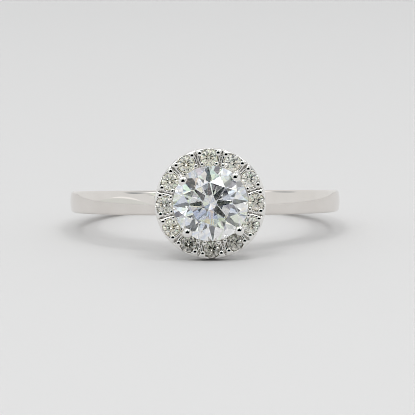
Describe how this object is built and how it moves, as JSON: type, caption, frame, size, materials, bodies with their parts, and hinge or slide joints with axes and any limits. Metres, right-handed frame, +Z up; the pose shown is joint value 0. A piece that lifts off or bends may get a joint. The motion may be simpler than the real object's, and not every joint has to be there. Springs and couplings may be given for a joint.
{
  "type": "halo ring",
  "caption": "Halo ring in polished white gold: a plain tapered band and a four-claw wire basket holding a round brilliant, ringed by a plate of small bead-set brilliants.",
  "frame": {"origin": "bottom centre of the ring's box, on the surface that the ring lies on", "axes": "+Z up; the head faces -Y; X runs across the finger hole"},
  "size_m": [0.0198, 0.0234, 0.0076],
  "materials": {
    "white_gold": "rhodium-plated white gold, mirror polished",
    "centre_diamond": "diamond, brilliant cut and polished",
    "halo_diamond": "diamond of a faint warm tint, brilliant cut and polished"
  },
  "bodies": {
    "root": {"ring_mount": "white_gold", "centre_stone": "centre_diamond", "halo_stone_01": "halo_diamond", "halo_stone_02": "halo_diamond", "halo_stone_03": "halo_diamond", "halo_stone_04": "halo_diamond", "halo_stone_05": "halo_diamond", "halo_stone_06": "halo_diamond", "halo_stone_07": "halo_diamond", "halo_stone_08": "halo_diamond", "halo_stone_09": "halo_diamond", "halo_stone_10": "halo_diamond", "halo_stone_11": "halo_diamond", "halo_stone_12": "halo_diamond"}
  },
  "joints": []
}
